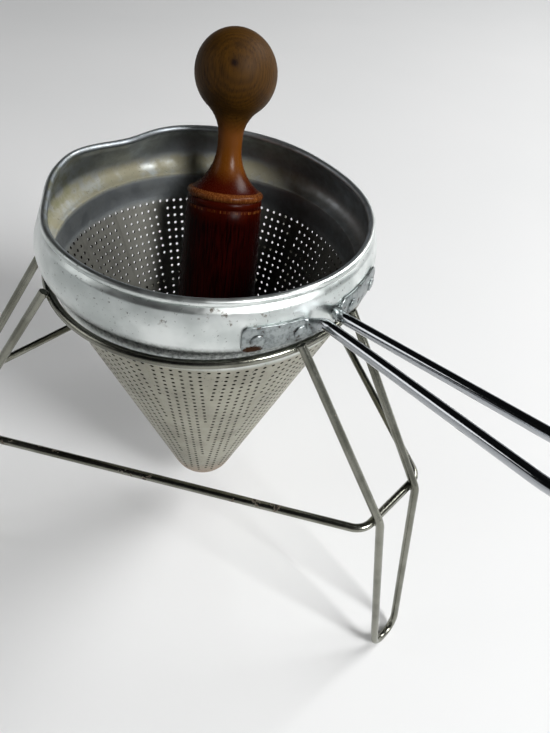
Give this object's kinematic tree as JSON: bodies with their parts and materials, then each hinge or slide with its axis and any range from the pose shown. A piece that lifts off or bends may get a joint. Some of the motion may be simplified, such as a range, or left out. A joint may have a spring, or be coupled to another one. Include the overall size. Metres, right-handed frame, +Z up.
{
  "type": "cone colander with pestle",
  "caption": "Cone-shaped sheet sieve with a loop handle, standing in a wire tripod, with a turned wooden pestle to press food through it.",
  "frame": {"origin": "on the floor, under the middle of the stand's ring", "axes": "+Z up, +X towards the long handle, +Y to its left seen from above the handle's end"},
  "size_m": [0.3359, 0.2958, 0.3043],
  "materials": {
    "sieve_aluminium": "satin, worn and stained",
    "handle_chrome": "plated, worn",
    "rivet_steel": "pressed",
    "stand_steel": "dulled, with rust spots",
    "pestle_wood": "old varnish, worn bare on the knob"
  },
  "bodies": {
    "stand": {"stand_ring": "stand_steel", "stand_leg_front": "stand_steel", "stand_leg_rear": "stand_steel", "stand_leg_left": "stand_steel", "stand_brace": "stand_steel"},
    "sieve": {"sieve_body": "sieve_aluminium", "handle": "handle_chrome", "handle_rivet_1": "rivet_steel", "handle_rivet_2": "rivet_steel", "handle_rivet_3": "rivet_steel", "handle_rivet_4": "rivet_steel"},
    "pestle": {"pestle": "pestle_wood"}
  },
  "joints": [
    {"name": "sieve_lift", "type": "slide", "parent": "stand", "child": "sieve", "axis": [0, 0, 1], "range_m": [0, 0.2]},
    {"name": "pestle_lift", "type": "slide", "parent": "sieve", "child": "pestle", "axis": [0.0351, 0.0388, 0.9986], "range_m": [0, 0.211]}
  ]
}
